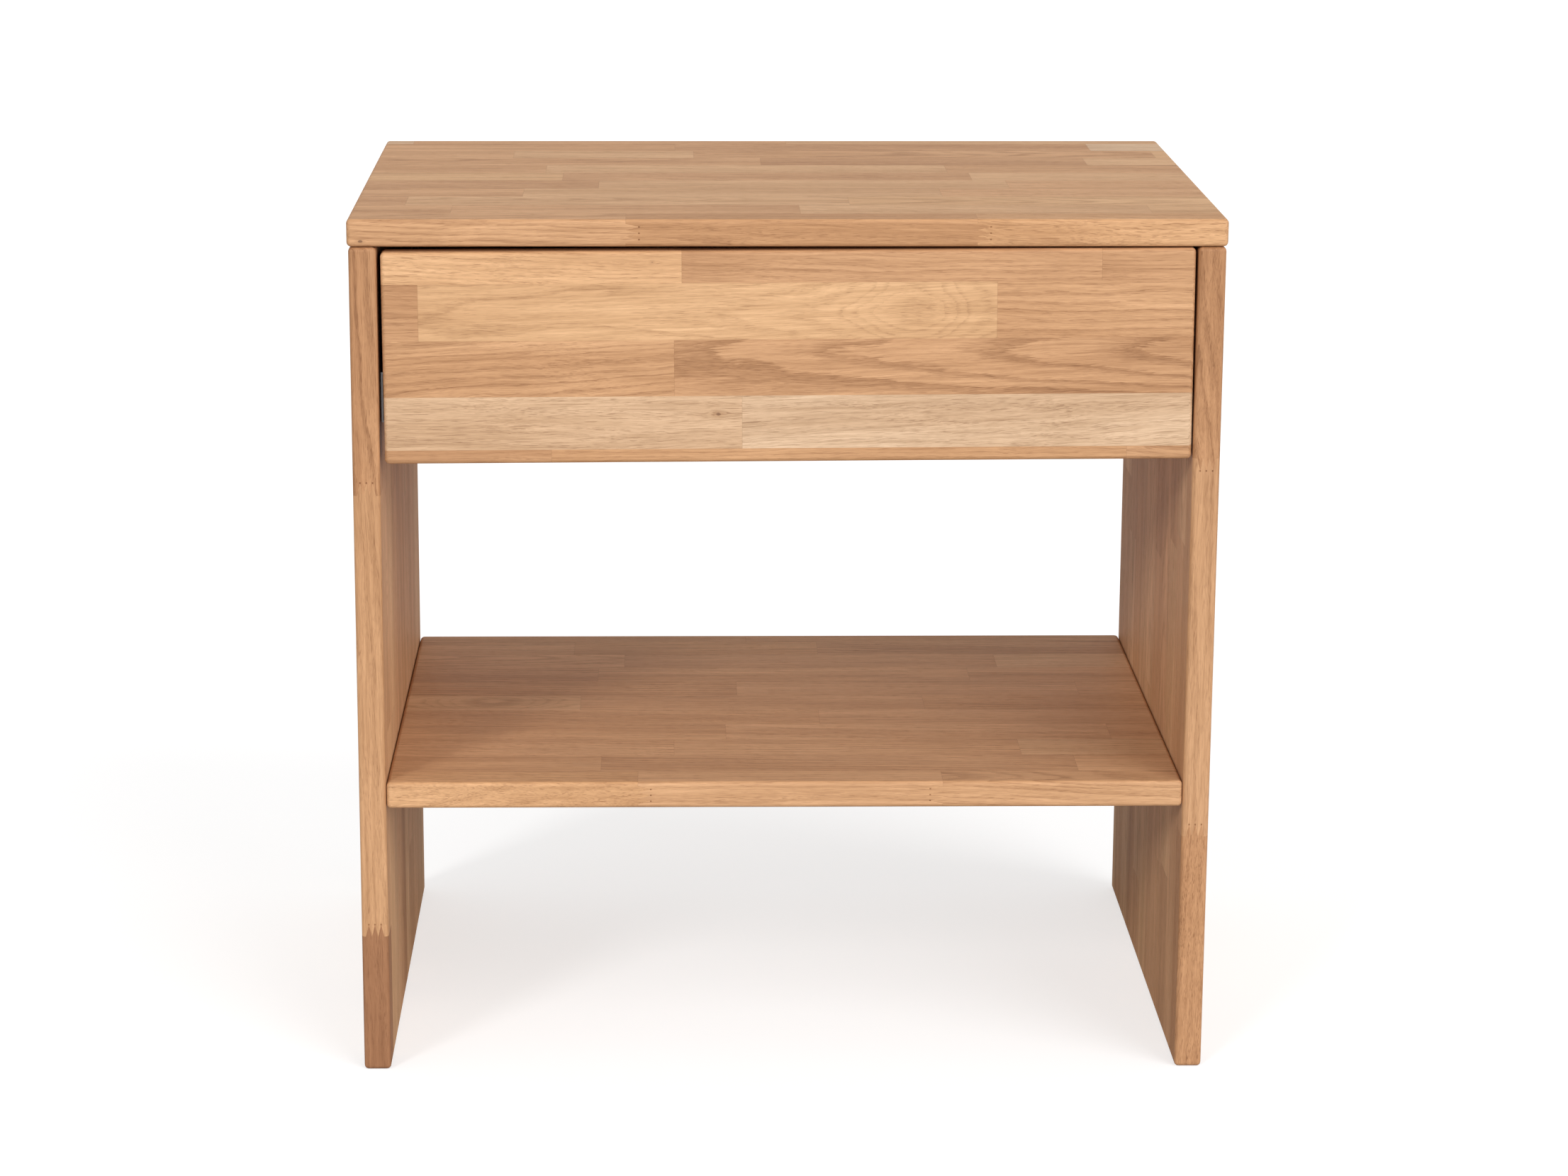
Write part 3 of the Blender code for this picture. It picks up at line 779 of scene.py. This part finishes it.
# ---------------------------------------------------------------- plain woods and metals


def plain_cut(shift, pith, ring, run=(0.008, 0.0, 0.0), marks=(0.01, 0.5, 0.7)):
    """The cut of a board that is one piece of wood."""
    pith = (*pith, 1.0 / ring)
    return dict(shift=shift, pith=pith, run=run, marks=marks, knot=(FAR, FAR, FAR), knot_size=NO_KNOT_SIZE)


def turned(tree, axes):
    """The place in the CAD's frame with its axes taken in this order, as along, across and deep."""
    parts = split(tree, object_place(tree))
    return join(tree, *(parts["XYZ".index(axis)] for axis in axes))


def normal_part(tree, axis):
    """How far the surface faces along an axis, from 0 to 1."""
    normal = split(tree, tree.nodes.new("ShaderNodeTexCoord").outputs["Normal"])
    return calc(tree, "ABSOLUTE", normal["XYZ".index(axis)])


def plain_oak(name, axes, shift, pith):
    """Solid oak whose grain runs along the first of axes."""
    made, tree, shader = new_material(name)
    pattern = oak_pattern(tree, turned(tree, axes), plain_cut(shift, pith, 0.0038))
    end = calc(tree, "POWER", normal_part(tree, axes[0]), 2.0)
    oak_surface(tree, shader, BOX_OAK, WHITE, pattern, end=end)
    shader.inputs["IOR"].default_value = OAK_IOR
    return made


def plywood():
    """Oak-faced plywood: a veneer above and below, and crossed plies at its edges."""
    made, tree, shader = new_material("oak_plywood")
    veneer_cut = plain_cut((3.0, 7.0, 1.0), (0.0, 0.43), 0.0030, (0.05, 0.0, 0.0), (0.01, 0.6, 0.7))
    pattern = oak_pattern(tree, turned(tree, "XYZ"), veneer_cut)
    low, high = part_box("drawer_bottom")
    _, _, up = split(tree, object_place(tree))
    ply = calc(tree, "MULTIPLY", calc(tree, "SUBTRACT", up, low.z), 2.5 / (high.z - low.z))
    crossed = calc(tree, "GREATER_THAN", calc(tree, "FRACT", ply), 0.5)
    edge = ramp(tree, normal_part(tree, "Z"), 0.3, 0.7, 1.0, 0.0)
    tone = blend(tree, calc(tree, "MULTIPLY", edge, crossed), WHITE, CROSSED_PLY_TINT)
    oak_surface(tree, shader, VENEER, tone, pattern)
    return made


def beech():
    """Plain beech with short dark flecks, grain along X."""
    made, tree, shader = new_material("plain_beech")
    at = object_place(tree)
    fleck = ramp(tree, noise(tree, at, (260.0, 1900.0, 1900.0)), 0.62, 0.74, 0.0, 1.0)
    streak = noise(tree, at, (25.0, 500.0, 500.0), 2.0)
    colour = blend(tree, streak, (0.60, 0.40, 0.24, 1.0), (0.74, 0.53, 0.35, 1.0))
    feed(tree, shader.inputs["Base Color"], blend(tree, fleck, colour, (0.44, 0.25, 0.13, 1.0)))
    feed(tree, shader.inputs["Roughness"], plus(tree, 0.5, streak, 0.2))
    raise_surface(tree, shader, calc(tree, "SUBTRACT", streak, fleck), 0.0001, 0.5)
    return made


def zinc():
    """Bright zinc-plated steel strip, drawn along Y, with a faint cloudy bloom and greasy spots."""
    made, tree, shader = new_material("zinc_plated_steel")
    at = object_place(tree)
    drawn = noise(tree, at, (900.0, 6.0, 900.0), 2.0, 0.6)
    bloom = noise(tree, at, (45.0, 45.0, 45.0), 3.0, 0.55)
    grease = ramp(tree, noise(tree, at, (90.0, 22.0, 90.0), 2.0), 0.60, 0.72, 0.0, 1.0)
    colour = blend(tree, bloom, (0.50, 0.52, 0.55, 1.0), (0.72, 0.73, 0.74, 1.0))
    colour = blend(tree, calc(tree, "MULTIPLY", drawn, 0.35), colour, (0.78, 0.79, 0.79, 1.0))
    colour = blend(tree, calc(tree, "MULTIPLY", grease, 0.25), colour, (0.36, 0.35, 0.31, 1.0))
    feed(tree, shader.inputs["Base Color"], colour)
    shader.inputs["Metallic"].default_value = 1.0
    rough = plus(tree, 0.24, bloom, 0.20)
    feed(tree, shader.inputs["Roughness"], plus(tree, rough, grease, -0.08))
    raise_surface(tree, shader, drawn, 0.00003, 0.4)
    return made


def ball_steel():
    """Polished steel of the balls and their cages, with a thin film of grease."""
    made, tree, shader = new_material("ball_steel")
    film = noise(tree, object_place(tree), (160.0, 60.0, 160.0), 2.0)
    colour = blend(tree, film, (0.46, 0.46, 0.45, 1.0), (0.74, 0.74, 0.74, 1.0))
    feed(tree, shader.inputs["Base Color"], colour)
    shader.inputs["Metallic"].default_value = 1.0
    feed(tree, shader.inputs["Roughness"], ramp(tree, film, 0.3, 0.7, 0.14, 0.34))
    raise_surface(tree, shader, film, 0.00002, 0.3)
    return made


def paint(made, *nodes):
    """Gives these CAD nodes a material."""
    for node in nodes:
        NODES[node].data.materials.clear()
        NODES[node].data.materials.append(made)


def soften(*nodes):
    """Breaks the sharp edges of these CAD nodes."""
    for node in nodes:
        bevel = NODES[node].modifiers.new("broken edges", "BEVEL")
        bevel.width = BROKEN_EDGE
        bevel.segments = 2
        bevel.limit_method = "ANGLE"
        bevel.angle_limit = math.radians(50.0)


def finish_cad_nodes():
    """Gives the CAD nodes that stay their materials, and the drawer box its broken edges."""
    ends = ("drawer_box_front", "drawer_box_back")
    sides = ("drawer_left_side", "drawer_right_side")
    rails = ("outer_rail", "middle_rail", "inner_rail")
    soften(*ends, *sides)
    paint(plain_oak("box_oak_across", "XZY", (5.0, 2.0, 9.0), (0.40, -0.10)), *ends)
    paint(plain_oak("box_oak_deep", "YZX", (8.0, 4.0, 3.0), (0.58, -0.20)), *sides)
    paint(plywood(), "drawer_bottom")
    paint(beech(), *(name for name in NODES if "dowel" in name))
    paint(zinc(), *(name for name in NODES if "screw" in name or name.endswith(rails)))
    paint(ball_steel(), *(name for name in NODES if "ball_cage" in name))


# ---------------------------------------------------------------- the studio

SKY_LIGHT = 0.56
FLOOR_SIZE = 40.0
FLOOR_GLOW = 0.60
CAMERA_PLACE = Vector((-0.084, -2.801, 1.015))
CAMERA_PITCH = 0.2323
CAMERA_YAW = 0.0166
CAMERA_ROLL = 0.0023


def camera_sees(tree):
    """1 for what the camera sees, and 0 for the light that a surface gets."""
    return tree.nodes.new("ShaderNodeLightPath").outputs["Is Camera Ray"]


def add_world():
    """Soft white light from all round. It is seen as a plain white backdrop."""
    world = bpy.data.worlds.new("studio")
    world.use_nodes = True
    tree = world.node_tree
    sky = tree.nodes["Background"]
    sky.inputs["Color"].default_value = WHITE
    strength = ramp(tree, camera_sees(tree), 0.0, 1.0, SKY_LIGHT, 1.0, smooth=False)
    feed(tree, sky.inputs["Strength"], strength)
    bpy.context.scene.world = world


def add_floor():
    """A white floor, with a faint unevenness, that runs out of sight."""
    made, tree, shader = new_material("studio_floor")
    tint = noise(tree, object_place(tree), (3.0, 3.0, 3.0), 2.0)
    colour = blend(tree, tint, (0.54, 0.54, 0.54, 1.0), (0.56, 0.56, 0.56, 1.0))
    feed(tree, shader.inputs["Base Color"], colour)
    shader.inputs["Roughness"].default_value = 0.8
    shader.inputs["Specular IOR Level"].default_value = 0.2
    shader.inputs["Emission Color"].default_value = WHITE
    feed(tree, shader.inputs["Emission Strength"], calc(tree, "MULTIPLY", camera_sees(tree), FLOOR_GLOW))
    shape = bmesh.new()
    bmesh.ops.create_grid(shape, x_segments=8, y_segments=8, size=FLOOR_SIZE)
    mesh = bpy.data.meshes.new("studio_floor")
    shape.to_mesh(mesh)
    shape.free()
    mesh.materials.append(made)
    floor = bpy.data.objects.new("studio_floor", mesh)
    bpy.context.scene.collection.objects.link(floor)


def add_sun(name, strength, size, azimuth, height):
    """A distant soft light that shines from that azimuth, 0 in front and 90 on the right."""
    data = bpy.data.lights.new(name, "SUN")
    data.energy = strength
    data.angle = math.radians(size)
    lamp = bpy.data.objects.new(name, data)
    turn = math.radians(azimuth)
    rise = math.radians(height)
    source = Vector((math.sin(turn) * math.cos(rise), -math.cos(turn) * math.cos(rise), math.sin(rise)))
    lamp.rotation_mode = "QUATERNION"
    lamp.rotation_quaternion = (-source).to_track_quat("-Z", "Y")
    bpy.context.scene.collection.objects.link(lamp)


def add_camera():
    """The camera, turned down onto the table, a little left of its middle."""
    data = bpy.data.cameras.new("camera")
    data.lens = 88.84
    data.sensor_width = 36.0
    data.shift_x = 0.036
    data.shift_y = -0.0407
    camera = bpy.data.objects.new("camera", data)
    level = math.cos(CAMERA_PITCH)
    look = Vector((math.sin(CAMERA_YAW) * level, math.cos(CAMERA_YAW) * level, -math.sin(CAMERA_PITCH)))
    camera.location = CAMERA_PLACE
    camera.rotation_mode = "QUATERNION"
    camera.rotation_quaternion = look.to_track_quat("-Z", "Y") @ Quaternion(Z, CAMERA_ROLL)
    bpy.context.scene.collection.objects.link(camera)
    bpy.context.scene.camera = camera


# ---------------------------------------------------------------- the nightstand in its studio

OAK_STAVES = stave_oak()
LEFT_FRONT = ("dark straight", 0.100, "tan straight", 0.420, "russet striped")
RIGHT_FRONT = ("russet flecked", 0.1724, "brown straight", 0.4458, "russet striped")
add_level_board("top", top_rows(), OAK_STAVES, 11, (1, 1))
add_level_board("shelf", shelf_rows(), OAK_STAVES, 12, (1, -1))
add_side("left", OAK_STAVES, 21, (1, 1), *LEFT_FRONT)
add_side("right", OAK_STAVES, 34, (1, -1), *RIGHT_FRONT)
add_back_rail(OAK_STAVES, 41)
add_drawer_front(OAK_STAVES, 51)
finish_cad_nodes()

bpy.context.scene.view_settings.view_transform = "Standard"
add_world()
add_floor()
add_sun("right_light", 1.66, 46.0, 42.0, 25.0)
add_sun("left_light", 1.08, 14.0, -33.0, 27.0)
add_camera()
